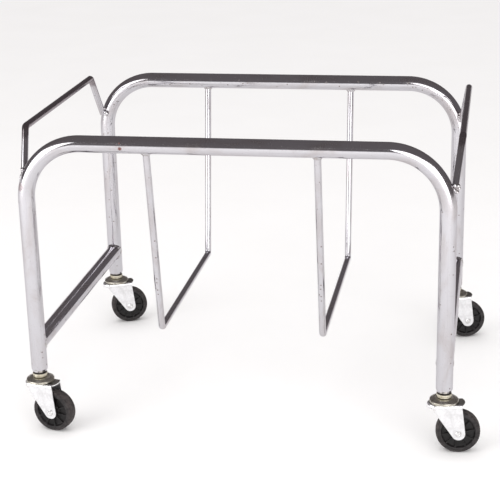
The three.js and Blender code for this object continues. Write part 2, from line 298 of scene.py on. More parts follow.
# ------------------------------------------------------------------ materials
class Nodes:
    def __init__(self, name):
        self.mat = bpy.data.materials.new(name)
        self.mat.use_nodes = True
        self.t = self.mat.node_tree
        self.t.nodes.clear()
        self.out = self.t.nodes.new("ShaderNodeOutputMaterial")
        self.bsdf = self.t.nodes.new("ShaderNodeBsdfPrincipled")
        self.t.links.new(self.bsdf.outputs[0], self.out.inputs[0])

    def new(self, kind, **values):
        node = self.t.nodes.new(kind)
        for k, v in values.items():
            setattr(node, k, v)
        return node

    def link(self, a, b):
        self.t.links.new(a, b)

    def put(self, value, socket):
        if hasattr(value, "links"):
            self.link(value, socket)
        else:
            socket.default_value = value

    def run_coords(self):
        return self.new("ShaderNodeAttribute", attribute_name="run").outputs["Vector"]

    def object_coords(self):
        return self.new("ShaderNodeTexCoord").outputs["Object"]

    def own_coords(self):
        return self.new("ShaderNodeAttribute", attribute_name="own").outputs["Vector"]

    def scaled(self, vector, scale, offset=(0, 0, 0)):
        m = self.new("ShaderNodeMapping")
        self.link(vector, m.inputs["Vector"])
        m.inputs["Scale"].default_value = scale
        m.inputs["Location"].default_value = offset
        return m.outputs["Vector"]

    def noise(self, vector, scale, detail=3.0, rough=0.5, distortion=0.0):
        t = self.new("ShaderNodeTexNoise")
        self.link(vector, t.inputs["Vector"])
        t.inputs["Scale"].default_value = scale
        t.inputs["Detail"].default_value = detail
        t.inputs["Roughness"].default_value = rough
        t.inputs["Distortion"].default_value = distortion
        return t.outputs["Fac"]

    def cells(self, vector, scale, randomness=1.0):
        t = self.new("ShaderNodeTexVoronoi")
        self.link(vector, t.inputs["Vector"])
        t.inputs["Scale"].default_value = scale
        t.inputs["Randomness"].default_value = randomness
        return t

    def span(self, value, a, b, c=0.0, d=1.0, smooth=True):
        m = self.new("ShaderNodeMapRange", interpolation_type="SMOOTHSTEP" if smooth else "LINEAR")
        self.put(value, m.inputs["Value"])
        for k, x in zip(("From Min", "From Max", "To Min", "To Max"), (a, b, c, d)):
            m.inputs[k].default_value = x
        return m.outputs["Result"]

    def math(self, op, a, b=0.0, clamp=False):
        m = self.new("ShaderNodeMath", operation=op, use_clamp=clamp)
        self.put(a, m.inputs[0])
        self.put(b, m.inputs[1])
        return m.outputs[0]

    def mix(self, fac, a, b, blend="MIX"):
        m = self.new("ShaderNodeMix", data_type="RGBA", blend_type=blend)
        self.put(fac, m.inputs[0])
        for v, s in ((a, m.inputs[6]), (b, m.inputs[7])):
            if hasattr(v, "links"):
                self.link(v, s)
            else:
                s.default_value = (*v, 1.0) if len(v) == 3 else v
        return m.outputs[2]

    def split(self, vector):
        s = self.new("ShaderNodeSeparateXYZ")
        self.link(vector, s.inputs[0])
        return s.outputs

    def bump(self, height, strength, distance, normal=None):
        b = self.new("ShaderNodeBump")
        b.inputs["Strength"].default_value = strength
        b.inputs["Distance"].default_value = distance
        self.link(height, b.inputs["Height"])
        if normal is not None:
            self.link(normal, b.inputs["Normal"])
        return b.outputs["Normal"]

    def finish(self, colour, rough, metallic=1.0, normal=None, tint=None, specular=None):
        b = self.bsdf.inputs
        self.put(colour if hasattr(colour, "links") else (*colour, 1.0), b["Base Color"])
        self.put(rough, b["Roughness"])
        b["Metallic"].default_value = metallic
        if tint is not None:
            b["Specular Tint"].default_value = (*tint, 1.0)
        if specular is not None:
            b["Specular IOR Level"].default_value = specular
        if normal is not None:
            self.link(normal, b["Normal"])
        return self.mat


def chrome_tube(name, seed, spots=(), gripped=None):
    """Bright chrome on drawn tube: faint drawing lines along the run, polish haze, sparse pits, a film of dust and tarnish.
    spots is [(centre in metres, radius in metres, weight)] of rust stain. gripped is the height above which hands have dulled it."""
    g = Nodes(name)
    run = g.run_coords()
    ob = g.object_coords()
    off = (seed * 0.37, seed * 0.21, seed * 0.53)
    lines = g.noise(g.scaled(run, (260, 260, 5), off), 1.0, 4, 0.6)
    fine = g.noise(g.scaled(run, (1500, 1500, 30), off), 1.0, 3, 0.6)
    haze = g.noise(g.scaled(run, (22, 22, 9), off), 1.0, 4, 0.6, 0.6)
    cloud = g.noise(g.scaled(run, (60, 60, 26), off), 1.0, 4, 0.6, 0.3)
    pit_cells = g.cells(g.scaled(run, (1, 1, 1), off), 95)
    keep = g.split(pit_cells.outputs["Color"])[0]
    pit = g.math("MULTIPLY", g.span(pit_cells.outputs["Distance"], 0.10, 0.24, 1, 0), g.span(keep, 0.80, 0.84))
    small_cells = g.cells(g.scaled(run, (1, 1, 1), (off[1], off[2], off[0])), 420)
    small_keep = g.split(small_cells.outputs["Color"])[1]
    small = g.math("MULTIPLY", g.span(small_cells.outputs["Distance"], 0.10, 0.30, 1, 0), g.span(small_keep, 0.86, 0.88))
    # scratches: two thin bands of stretched noise, one across the run and one along it
    s1 = g.noise(g.scaled(run, (90, 90, 900), off), 1.0, 2, 0.5, 1.2)
    s2 = g.noise(g.scaled(run, (800, 800, 16), (off[2], off[0], off[1])), 1.0, 2, 0.5, 0.8)
    across = g.math("MULTIPLY", g.span(g.math("ABSOLUTE", g.math("SUBTRACT", s1, 0.5)), 0.0, 0.012, 1, 0), g.span(haze, 0.5, 0.62))
    along = g.math("MULTIPLY", g.span(g.math("ABSOLUTE", g.math("SUBTRACT", s2, 0.5)), 0.0, 0.012, 1, 0), g.span(cloud, 0.45, 0.6))
    scratch = g.math("MAXIMUM", across, along)
    marks = g.math("MAXIMUM", pit, small)
    clean = (0.58, 0.57, 0.60)
    colour = g.mix(g.span(haze, 0.42, 0.70), clean, (0.50, 0.47, 0.48))
    colour = g.mix(g.math("MULTIPLY", g.span(lines, 0.50, 0.72), 0.35), colour, (0.44, 0.42, 0.45))
    colour = g.mix(g.math("MULTIPLY", marks, 0.75), colour, (0.16, 0.12, 0.10))
    colour = g.mix(g.math("MULTIPLY", scratch, 0.25), colour, (0.66, 0.65, 0.67))
    rough = g.math("ADD", 0.075, g.math("MULTIPLY", g.span(haze, 0.40, 0.72), 0.07))
    rough = g.math("ADD", rough, g.math("MULTIPLY", g.span(lines, 0.40, 0.70), 0.05))
    rough = g.math("ADD", rough, g.math("MULTIPLY", scratch, 0.16))
    rough = g.math("ADD", rough, g.math("MULTIPLY", marks, 0.30), True)
    if gripped is not None:
        held = g.span(g.math("ADD", g.split(ob)[2], g.math("MULTIPLY", g.math("SUBTRACT", cloud, 0.5), 0.012)), gripped - 0.006, gripped + 0.006)
        colour = g.mix(g.math("MULTIPLY", held, 0.92), colour, g.mix(haze, (0.30, 0.265, 0.275), (0.22, 0.19, 0.20)))
        rough = g.math("ADD", rough, g.math("MULTIPLY", held, 0.05))
    for centre, radius, weight in spots:
        d = g.new("ShaderNodeVectorMath", operation="DISTANCE")
        g.link(ob, d.inputs[0])
        d.inputs[1].default_value = centre
        edge = g.math("ADD", d.outputs["Value"], g.math("MULTIPLY", g.math("SUBTRACT", cloud, 0.5), radius * 1.6))
        m = g.span(edge, radius * 0.45, radius, 1, 0)
        colour = g.mix(g.math("MULTIPLY", m, weight), colour, (0.17, 0.050, 0.036))
        rough = g.math("ADD", rough, g.math("MULTIPLY", m, 0.4), True)
    height = g.math("ADD", g.math("MULTIPLY", lines, 0.35), g.math("MULTIPLY", fine, 0.06))
    height = g.math("SUBTRACT", height, g.math("MULTIPLY", marks, 0.8))
    height = g.math("SUBTRACT", height, g.math("MULTIPLY", scratch, 0.12))
    normal = g.bump(height, 0.30, 0.00012)
    return g.finish(colour, rough, 1.0, normal, tint=(0.80, 0.78, 0.80))


def plated_weld(name):
    """Chrome over a weld bead: brighter crests, stained toes, small pits."""
    g = Nodes(name)
    ob = g.object_coords()
    big = g.noise(ob, 160, 4, 0.6)
    small = g.noise(ob, 900, 3, 0.6)
    pits = g.cells(ob, 520)
    hole = g.math("MULTIPLY", g.span(pits.outputs["Distance"], 0.12, 0.30, 1, 0), g.span(g.split(pits.outputs["Color"])[0], 0.80, 0.84))
    colour = g.mix(g.span(big, 0.40, 0.66), (0.60, 0.59, 0.61), (0.42, 0.38, 0.37))
    colour = g.mix(hole, colour, (0.08, 0.055, 0.045))
    rough = g.math("ADD", 0.14, g.math("MULTIPLY", big, 0.20))
    rough = g.math("ADD", rough, g.math("MULTIPLY", hole, 0.4), True)
    height = g.math("SUBTRACT", g.math("MULTIPLY", small, 0.5), hole)
    return g.finish(colour, rough, 1.0, g.bump(height, 0.5, 0.0003), tint=(0.85, 0.84, 0.85))


def zinc(name, light, dark, r0, r1, seed=0.0, grain=(1, 1, 1), stain=None, metallic=1.0, crown=None):
    """Zinc plated pressing: cloudy spangle, faint press lines, handling scratches, a little stain."""
    g = Nodes(name)
    ob = g.own_coords()
    v = g.scaled(ob, (1, 1, 1), (seed, seed * 0.7, seed * 0.3))
    cloud = g.noise(v, 70, 5, 0.62, 0.4)
    spangle = g.cells(v, 320)
    tone = g.split(spangle.outputs["Color"])[0]
    press = g.noise(g.scaled(v, grain), 260, 4, 0.6)
    scr = g.noise(g.scaled(v, (900, 60, 320)), 1.0, 2, 0.5, 1.5)
    scratch = g.math("MULTIPLY", g.span(g.math("ABSOLUTE", g.math("SUBTRACT", scr, 0.5)), 0.0, 0.014, 1, 0), g.span(cloud, 0.45, 0.6))
    colour = g.mix(g.span(cloud, 0.36, 0.68), light, dark)
    colour = g.mix(g.math("MULTIPLY", tone, 0.16), colour, dark)
    colour = g.mix(g.math("MULTIPLY", scratch, 0.35), colour, (0.85, 0.85, 0.86))
    if stain:
        spot = g.span(g.noise(v, 38, 4, 0.7, 0.8), 0.58, 0.74)
        colour = g.mix(g.math("MULTIPLY", spot, 0.55), colour, stain)
    rough = g.math("ADD", r0, g.math("MULTIPLY", g.span(cloud, 0.3, 0.7), r1 - r0))
    rough = g.math("ADD", rough, g.math("MULTIPLY", tone, 0.05))
    if crown:
        # painted highlight: the folded shoulder is painted near white for the light it catches on the bend; painted
        # shade: the flat above it is painted dark brown-grey
        z = g.split(ob)[2]
        painted_bend_highlight = g.math("MULTIPLY", g.span(z, crown - 0.0085, crown - 0.0055), g.span(z, crown - 0.0006, crown - 0.0003, 1, 0))
        colour = g.mix(g.math("MULTIPLY", painted_bend_highlight, 0.9), colour, (0.97, 0.97, 0.98))
        rough = g.math("SUBTRACT", rough, g.math("MULTIPLY", painted_bend_highlight, 0.06))
        # painted shade: the crown's flat top is painted dark
        flat = g.span(z, crown - 0.0004, crown - 0.0001)
        colour = g.mix(g.math("MULTIPLY", flat, 0.93), colour, g.mix(cloud, (0.26, 0.245, 0.22), (0.13, 0.12, 0.105)))
        rough = g.math("ADD", rough, g.math("MULTIPLY", flat, 0.12))
    rough = g.math("SUBTRACT", rough, g.math("MULTIPLY", scratch, 0.08))
    height = g.math("ADD", g.math("MULTIPLY", press, 0.5), g.math("MULTIPLY", g.noise(v, 1400, 2, 0.5), 0.15))
    height = g.math("SUBTRACT", height, g.math("MULTIPLY", scratch, 0.2))
    return g.finish(colour, rough, metallic, g.bump(height, 0.35, 0.00022))


def bare_steel(name, light, dark, r0):
    g = Nodes(name)
    ob = g.own_coords()
    rings = g.noise(g.scaled(ob, (90, 90, 1400)), 1.0, 3, 0.6)
    oil = g.noise(ob, 130, 4, 0.6, 0.5)
    colour = g.mix(g.span(oil, 0.4, 0.7), light, dark)
    rough = g.math("ADD", r0, g.math("MULTIPLY", rings, 0.22))
    return g.finish(colour, rough, 1.0, g.bump(rings, 0.3, 0.0002))


def moulding(name, seed):
    """Black moulded wheel: satin sides, scuffed and dusty tread, and the centre inside the rim band painted darker as
    shade. The axle is the piece's own Y axis.
    """
    g = Nodes(name)
    ob = g.own_coords()
    x, y, z = g.split(ob)[0], g.split(ob)[1], g.split(ob)[2]
    radius = g.math("SQRT", g.math("ADD", g.math("MULTIPLY", x, x), g.math("MULTIPLY", z, z)))
    v = g.scaled(ob, (1, 1, 1), (seed, seed * 0.6, seed * 0.2))
    cloud = g.noise(v, 90, 5, 0.65, 0.5)
    grit = g.noise(v, 1100, 3, 0.7)
    tread = g.span(radius, 0.0435, 0.0492)
    rim = g.span(radius, 0.036, 0.0425)
    dust = g.math("MULTIPLY", g.math("ADD", g.math("MULTIPLY", tread, 0.75), g.math("MULTIPLY", rim, 0.18)), g.span(cloud, 0.30, 0.66))
    colour = g.mix(g.span(cloud, 0.35, 0.7), (0.010, 0.0085, 0.009), (0.024, 0.021, 0.0215))
    # painted shade: the web and hub inside the rim band are painted darker
    painted_recess_shade = g.span(radius, 0.0355, 0.0385, 1, 0)
    colour = g.mix(g.math("MULTIPLY", painted_recess_shade, 0.75), colour, (0.0045, 0.0038, 0.0038))
    colour = g.mix(dust, colour, (0.060, 0.050, 0.048))
    scr = g.noise(g.scaled(v, (300, 2200, 300)), 1.0, 2, 0.5, 0.6)
    scuff = g.math("MULTIPLY", g.span(scr, 0.60, 0.72), tread)
    colour = g.mix(g.math("MULTIPLY", scuff, 0.5), colour, (0.12, 0.105, 0.10))
    rough = g.math("ADD", 0.36, g.math("MULTIPLY", cloud, 0.16))
    rough = g.math("ADD", rough, g.math("MULTIPLY", tread, 0.22), True)
    height = g.math("ADD", g.math("MULTIPLY", grit, 0.6), g.math("MULTIPLY", scuff, 0.7))
    return g.finish(colour, rough, 0.0, g.bump(height, 0.45, 0.00035), specular=0.33)


M_TUBE_FRONT = chrome_tube("chrome_front", 1.0, spots=[((-0.2655, FRONT_Y * MM - 0.0175, RAIL_Z * MM + 0.0074), 0.0024, 0.9), ((-0.2645, FRONT_Y * MM - 0.0184, RAIL_Z * MM - 0.0049), 0.0058, 0.85),
                                                       ((-0.5003, -0.3602, 0.5961), 0.0120, 0.35), ((-0.5080, -0.3520, 0.560), 0.010, 0.30)])
M_TUBE_REAR = chrome_tube("chrome_rear", 4.0)
M_BAR = chrome_tube("chrome_bars", 7.0)
M_ROD = chrome_tube("chrome_rods", 11.0)
M_HANDLE = chrome_tube("chrome_handles", 14.0, gripped=0.692)
M_WELD = plated_weld("weld_plated")
M_FORK = zinc("fork_zinc", (0.86, 0.86, 0.875), (0.70, 0.695, 0.705), 0.26, 0.35, 2.0, grain=(1.4, 1, 0.25), stain=(0.56, 0.52, 0.48), metallic=0.95, crown=0.120)
M_AXLE = zinc("axle_zinc", (0.86, 0.86, 0.86), (0.62, 0.61, 0.60), 0.20, 0.34, 5.0)
M_CAP = zinc("cap_dull", (0.60, 0.58, 0.52), (0.36, 0.33, 0.27), 0.24, 0.42, 3.0, stain=(0.24, 0.18, 0.12))
M_COLLAR = zinc("collar_yellow", (0.74, 0.70, 0.58), (0.52, 0.47, 0.35), 0.34, 0.50, 8.0, stain=(0.34, 0.28, 0.18), metallic=0.60)
M_STEEL = bare_steel("pin_steel", (0.52, 0.52, 0.53), (0.36, 0.34, 0.32), 0.26)
M_SOCKET = bare_steel("socket_dark", (0.055, 0.050, 0.048), (0.025, 0.022, 0.020), 0.42)
M_WHEEL = moulding("wheel_moulding", 3.0)


# ------------------------------------------------------------------ tubes
def P(x, y, z):
    return Vector((CX + x, CY + y, z))


def frame_corners(y):
    return [P(-HALF_LENGTH, y, LEG_END_Z), P(-HALF_LENGTH, y, RAIL_Z), P(HALF_LENGTH, y, RAIL_Z), P(HALF_LENGTH, y, LEG_END_Z)]


FRAME_LENGTH = 2 * (RAIL_Z - LEG_END_Z - BEND_R) + math.pi * BEND_R + 2 * (HALF_LENGTH - BEND_R)
SWAGE = 9.0


def frame_radius(s, total):
    e = min(s, total - s)
    r = TUBE_R
    if e < SWAGE:
        t = e / SWAGE
        r = 16.9 + (TUBE_R - 16.9) * t * t * (3 - 2 * t)
    if e < 1.4:
        r -= 0.9 * (1 - e / 1.4) ** 2
    return r


# staked dents that hold the socket: (leg x, height, azimuth from -Y in degrees, half width, half height, depth)
DENTS = {
    -1: [(HALF_LENGTH, 154.0, -23, 2.2, 3.4, 1.3), (-HALF_LENGTH, 151.0, -13, 3.4, 1.9, 1.1)],
    1: [(HALF_LENGTH, 157.5, -20, 2.6, 5.0, 1.3), (-HALF_LENGTH, 158.0, -18, 2.8, 6.5, 1.5)],
}


def frame_shape(side):
    dents = [(P(x, side * HALF_WIDTH, z) + Vector((math.sin(math.radians(a)), -math.cos(math.radians(a)), 0)) * TUBE_R,
              Vector((math.cos(math.radians(a)), math.sin(math.radians(a)), 0)), w, h, d) for x, z, a, w, h, d in DENTS[side]]

    def shape(p, out, s, ang, bend):
        q = p + out * TUBE_R
        off = 0.045 * n3(q.x / 42, q.y / 42, q.z / 42, 2 + side) + 0.012 * n3(q.x / 9, q.y / 9, q.z / 9, 5 + side)
        off -= 0.22 * bend * (1 - out.y * out.y)
        if s < 40 or s > FRAME_LENGTH - 40:
            for centre, across, w, h, d in dents:
                v = q - centre
                if v.length < 16:
                    x, z = v.dot(across) / w, v.z / h
                    rr = x * x + z * z
                    off -= d * math.exp(-rr * rr * 0.7)
        return off

    return shape


for side, name, mat in ((-1, "front", M_TUBE_FRONT), (1, "rear", M_TUBE_REAR)):
    st = rounded_path(frame_corners(side * HALF_WIDTH), BEND_R, 2.2, 8.0, fine=((0, 24, 1.0), (FRAME_LENGTH - 24, FRAME_LENGTH, 1.0)))
    v, f, c = sweep(st, 112, frame_radius, ("open", "open"), TUBE_BORE, 62.0, frame_shape(side))
    make_object(f"{name}_tube", v, f, mat, "frame", nodes=(f"{name}_tube_frame",), coords=c)


def crossbar(x, name, nodes, seed):
    """A tube between two legs, each end coped to the leg it meets."""
    sides, bite = 96, 0.25
    ys = np.linspace(-1, 1, 76)
    verts, coords, rings = [], [], []
    for radius, order in ((TUBE_R, ys), (TUBE_BORE, ys[::-1])):
        for t in order:
            ring = []
            for k in range(sides):
                a = 2 * math.pi * k / sides
                dx, dz = radius * math.cos(a), radius * math.sin(a)
                reach = HALF_WIDTH - math.sqrt(max((TUBE_R - bite) ** 2 - min(abs(dx), TUBE_R - bite) ** 2, 0.0))
                yy = t * reach
                rr = 1.0
                if radius == TUBE_R:
                    rr = 1 + (0.04 * n3(dx / 30, yy / 50, dz / 30, seed)) / TUBE_R
                ring.append(len(verts))
                q = P(x + dx * rr, yy, CROSSBAR_Z + dz * rr)
                verts.append(q[:])
                coords.append((dx, dz, yy + 400))
            rings.append(ring)
    faces = []
    for a, b in zip(rings, rings[1:] + rings[:1]):
        for k in range(sides):
            m = (k + 1) % sides
            faces.append((a[k], a[m], b[m], b[k]))
    return make_object(name, verts, faces, M_BAR, "frame", nodes=nodes, coords=coords)


crossbar(-HALF_LENGTH, "left_lower_bar", ("left_crossbar",), 12)
crossbar(HALF_LENGTH, "right_lower_bar", ("right_crossbar",), 13)


def rod_radius(s, total):
    e = min(s, total - s)
    r = ROD_R - 0.03
    if e < 1.6:
        r -= 1.6 * (1 - e / 1.6) ** 2
    return r


def rod(name, corners, extend, nodes, seed, material):
    """A bent rod. extend lengthens each end, mm. The tight corners are slightly crushed."""
    c = [Vector(q) for q in corners]
    c[0] = c[0] + (c[0] - c[1]).normalized() * extend
    c[-1] = c[-1] + (c[-1] - c[-2]).normalized() * extend
    plane = (c[1] - c[0]).cross(c[2] - c[1]).normalized()
    total_guess = sum((b - a).length for a, b in zip(c[:-1], c[1:]))
    st = rounded_path(c, ROD_CORNER, 5.0, 7.0, fine=((0, 6, 0.6), (total_guess - 30, total_guess + 2, 1.2)))

    def shape(p, out, s, ang, bend):
        q = p + out * ROD_R
        flat = (out.dot(plane)) ** 2
        off = bend * (0.30 * flat - 0.75 * (1 - flat))
        return off + 0.016 * n3(q.x / 34, q.y / 34, q.z / 34, seed) + 0.006 * n3(q.x / 7, q.y / 7, q.z / 7, seed)

    v, f, co = sweep(st, 48, rod_radius, ("closed", "closed"), shape=shape)
    make_object(name, v, f, material, "frame", nodes=nodes, coords=co)
    return c


def handle_corners(side, grip):
    xf, xg = side * (HALF_LENGTH + HANDLE_FOOT[0]), side * (HALF_LENGTH + grip[0])
    pulled = 4.0 if side > 0 else 0.0  # the right handle's front foot is welded a little proud
    return [P(xf + pulled, -HANDLE_FOOT[1], HANDLE_FOOT[2]), P(xg, -grip[1], grip[2]), P(xg, grip[1], grip[2]), P(xf, HANDLE_FOOT[1], HANDLE_FOOT[2])]


def cradle_corners(x):
    return [P(x, -CRADLE_TOP[0], CRADLE_TOP[1]), P(x, -CRADLE_LOW[0], CRADLE_LOW[1]), P(x, CRADLE_LOW[0], CRADLE_LOW[1]), P(x, CRADLE_TOP[0], CRADLE_TOP[1])]


left_handle = rod("left_end_handle", handle_corners(-1, HANDLE_LEFT), 8.0, ("left_handle",), 21, M_HANDLE)
right_handle = rod("right_end_handle", handle_corners(1, HANDLE_RIGHT), 8.0, ("right_handle",), 22, M_HANDLE)
left_cradle = rod("left_hanging_cradle", cradle_corners(-CRADLE_X), -6.5, ("left_cradle",), 23, M_ROD)
right_cradle = rod("right_hanging_cradle", cradle_corners(CRADLE_X), -6.5, ("right_cradle",), 24, M_ROD)


# ------------------------------------------------------------------ welds
def frame_nearest(p, side):
    """The closest point on a frame's centreline."""
    y = side * HALF_WIDTH
    lx, lz = p.x - CX, p.z
    sx = 1 if lx >= 0 else -1
    bx, bz = sx * (HALF_LENGTH - BEND_R), RAIL_Z - BEND_R
    if abs(lx) <= HALF_LENGTH - BEND_R:
        return P(lx, y, RAIL_Z)
    if lz <= bz:
        return P(sx * HALF_LENGTH, y, max(lz, LEG_END_Z))
    v = Vector((lx - bx, 0, lz - bz)).normalized() * BEND_R
    return P(bx + v.x, y, bz + v.z)


def bead(name, point, away, radius, side, h1, h2, seed, fat=1.0, count=120):
    """A fillet weld where a round bar (axis through point, running away from the frame) meets a frame tube."""
    d = Vector(away).normalized()
    ref = Vector((1, 0, 0)) if abs(d.x) < 0.9 else Vector((0, 0, 1))
    e1 = (ref - d * ref.dot(d)).normalized()
    e2 = d.cross(e1)
    rings, verts = [], []
    for k in range(count):
        a = 2 * math.pi * k / count
        n1 = e1 * math.cos(a) + e2 * math.sin(a)
        base = Vector(point) + n1 * radius

        def gap(t):
            q = base + d * t
            return (q - frame_nearest(q, side)).length - TUBE_R

        t = 45.0
        while gap(t) > 0 and t > -TUBE_R - 6:
            t -= 1.0
        lo, hi = t, t + 1.0
        for _ in range(18):
            mid = (lo + hi) / 2
            if gap(mid) > 0:
                hi = mid
            else:
                lo = mid
        p0 = base + d * hi
        near = frame_nearest(p0, side)
        n2 = (p0 - near).normalized()
        u2 = n1 - n2 * n1.dot(n2) - d * 0.15
        u2 = (u2 - n2 * u2.dot(n2) * 0.9).normalized()
        coin = math.sin(a * 19 + 2.2 * n3(math.cos(a) * 2, math.sin(a) * 2, seed, seed))
        k1 = 1 + 0.16 * n3(math.cos(a) * 2.2, math.sin(a) * 2.2, 0, seed) + 0.030 * coin
        k2 = 1 + 0.20 * n3(math.cos(a) * 2.6, math.sin(a) * 2.6, 3, seed + 1) + 0.036 * coin
        A, B = p0 + d * (h1 * k1), p0 + u2 * (h2 * k2)
        B = near + (B - near).normalized() * (TUBE_R + 0.02)
        mid_n = (n1 + n2).normalized() if (n1 + n2).length > 0.1 else n1
        C = p0 + mid_n * (1.1 * fat + 0.25 * coin)
        ring = []
        for j in range(9):
            s = j / 8
            q = A * (1 - s) ** 2 + C * (2 * s * (1 - s)) + B * s ** 2
            q = q + mid_n * (math.sin(math.pi * s) * (0.55 * fat + 0.10 * coin))
            ring.append(q)
        ring += [near + (B - near).normalized() * (TUBE_R - 1.3), p0 - mid_n * 1.6, A - n1 * 1.3]
        rings.append([len(verts) + j for j in range(len(ring))])
        verts += [q[:] for q in ring]
    faces = []
    for a, b in zip(rings, rings[1:] + rings[:1]):
        m = len(a)
        for j in range(m):
            faces.append((a[j], a[(j + 1) % m], b[(j + 1) % m], b[j]))
    return make_object(name, verts, faces, M_WELD, "frame", sharp=60)


for x, label, sd in ((-CRADLE_X, "left", 31), (CRADLE_X, "right", 33)):
    for side, end in ((-1, "front"), (1, "rear")):
        top = P(x, side * CRADLE_TOP[0], CRADLE_TOP[1])
        low = P(x, side * CRADLE_LOW[0], CRADLE_LOW[1])
        bead(f"{label}_cradle_{end}_weld", top, low - top, ROD_R, side, 5.0, 5.2, sd + side * 0.5)
for x, label, sd in ((-HALF_LENGTH, "left", 41), (HALF_LENGTH, "right", 43)):
    for side, end in ((-1, "front"), (1, "rear")):
        bead(f"{label}_bar_{end}_weld", P(x, side * HALF_WIDTH, CROSSBAR_Z), (0, -side, 0), TUBE_R, side, 6.2, 5.4, sd + side * 0.5, fat=1.25, count=200)


def blob(name, balls, seed, voxel=0.75):
    """A hand-laid weld: overlapping drops fused into one skin. balls is [(centre, radius)] in mm."""
    bm = bmesh.new()
    for centre, r in balls:
        before = len(bm.verts)
        bmesh.ops.create_icosphere(bm, subdivisions=3, radius=r)
        bm.verts.ensure_lookup_table()
        for vert in bm.verts[before:]:
            k = 1 + 0.10 * n3(vert.co.x / 3, vert.co.y / 3, vert.co.z / 3, seed)
            vert.co = Vector(centre) + vert.co * k
    me = bpy.data.meshes.new(name + "_drops")
    bm.to_mesh(me)
    bm.free()
    ob = bpy.data.objects.new(name + "_drops", me)
    bpy.context.scene.collection.objects.link(ob)
    rm = ob.modifiers.new("fuse", "REMESH")
    rm.mode, rm.voxel_size, rm.adaptivity = "VOXEL", voxel, 0.0
    sm = ob.modifiers.new("flow", "SMOOTH")
    sm.factor, sm.iterations = 0.5, 4
    dg = bpy.context.evaluated_depsgraph_get()
    ev = ob.evaluated_get(dg)
    m2 = ev.to_mesh()
    verts = []
    for vert in m2.vertices:
        q = vert.co
        k = 0.22 * n3(q.x / 2.2, q.y / 2.2, q.z / 2.2, seed + 3)
        verts.append((q + vert.normal * k)[:])
    faces = [tuple(p.vertices) for p in m2.polygons]
    ev.to_mesh_clear()
    bpy.data.objects.remove(ob)
    bpy.data.meshes.remove(me)
    return make_object(name, verts, faces, M_WELD, "frame", sharp=70)


# lumps of weld laid on afterwards, absolute positions in mm and sizes
LUMPS = {
    "left_handle_front": [((-496.0, -350.0, 635.0), 4.2), ((-498.5, -339.0, 629.0), 4.8), ((-494.0, -346.0, 625.0), 4.4), ((-499.0, -333.0, 618.0), 5.0)],
    "left_handle_rear": [((-497.5, 316.5, 617.5), 4.7), ((-490.5, 312.5, 610.5), 5.0), ((-485.0, 312.5, 607.0), 4.4), ((-493.5, 312.0, 621.0), 4.0), ((-488.0, 314.5, 602.0), 3.8)],
    "right_handle_front": [((459.5, -343.0, 622.0), 5.2), ((466.5, -338.0, 619.5), 4.8), ((464.5, -337.0, 606.0), 4.8), ((469.0, -336.0, 613.5), 3.8), ((458.0, -341.0, 611.0), 5.0)],
    "right_handle_rear": [((449.9, 316.0, 622.0), 4.4), ((452.0, 315.5, 609.0), 4.8), ((447.5, 314.5, 615.0), 4.6)],
}


def handle_weld(label, corners, side, seed):
    """Drops laid along the line where a handle rod lies against the tube bend, and one below its cut end."""
    end, nxt = (corners[0], corners[1]) if side < 0 else (corners[-1], corners[-2])
    d = (nxt - end).normalized()
    balls = []
    for i, t in enumerate((-1.5, 2.5, 6.5, 10.5, 15.0, 19.5, 24.0)):
        c = end + d * t
        near = frame_nearest(c, side)
        into = (near - c).normalized()
        across = d.cross(into).normalized()
        dist = (near - c).length
        touch = c + into * (dist - TUBE_R)
        size = (4.2, 5.2, 4.4, 4.9, 3.9, 3.4, 2.4)[i] * (1 + 0.16 * n3(i * 1.3, seed, 0))
        spread = (0.0, 5.4, 6.2, 6.0, 5.6, 5.2, 4.8)[i]
        outward = 1.0 if across.x * (1 if end.x > CX else -1) > 0 else -1.0
        for sgn in (-1, 1):
            outer = sgn == outward
            push = 1.8 if outer and i < 4 else 0.0
            balls.append((touch + across * (sgn * (spread + push)) + into * (0.8 - 0.5 * push), size * (1.22 if outer and i < 5 else 0.95)))
        if spread == 0.0:
            balls.append((end + into * 4.5 - d * 1.5, 5.2))
            balls.append((end + across * (outward * 4.2) - d * 2.2, 3.6))
    balls += [(Vector(c), r) for c, r in LUMPS[label]]
    return blob(f"{label}_weld", balls, seed)


for corners, label, sd in ((left_handle, "left_handle", 51), (right_handle, "right_handle", 55)):
    handle_weld(f"{label}_front", corners, -1, sd)
    handle_weld(f"{label}_rear", corners, 1, sd + 1)


# ------------------------------------------------------------------ casters
WHEEL_R, TRAIL, FORK_HALF, FORK_T, FORK_TOP = 50.0, 32.5, 22.0, 2.5, 120.0
FORK_NOSE, FORK_CORNER, FORK_REAR, FORK_END_R = 17.0, 39.0, 47.0, 15.0
NOSE_LIP_Z, BEND, FRONT_Z = 109.5, 6.2, 95.4


def mesh_from(name, verts, faces, sharp=38.0):
    me = bpy.data.meshes.new(name)
    me.from_pydata([tuple(float(c) * MM for c in p) for p in verts], [], [tuple(int(i) for i in f) for f in faces])
    me.validate()
    bm = bmesh.new()
    bm.from_mesh(me)
    bmesh.ops.remove_doubles(bm, verts=bm.verts, dist=2e-6)
    bmesh.ops.recalc_face_normals(bm, faces=bm.faces)
    bm.to_mesh(me)
    bm.free()
    me.polygons.foreach_set("use_smooth", [True] * len(me.polygons))
    me.set_sharp_from_angle(angle=math.radians(sharp))
    return me


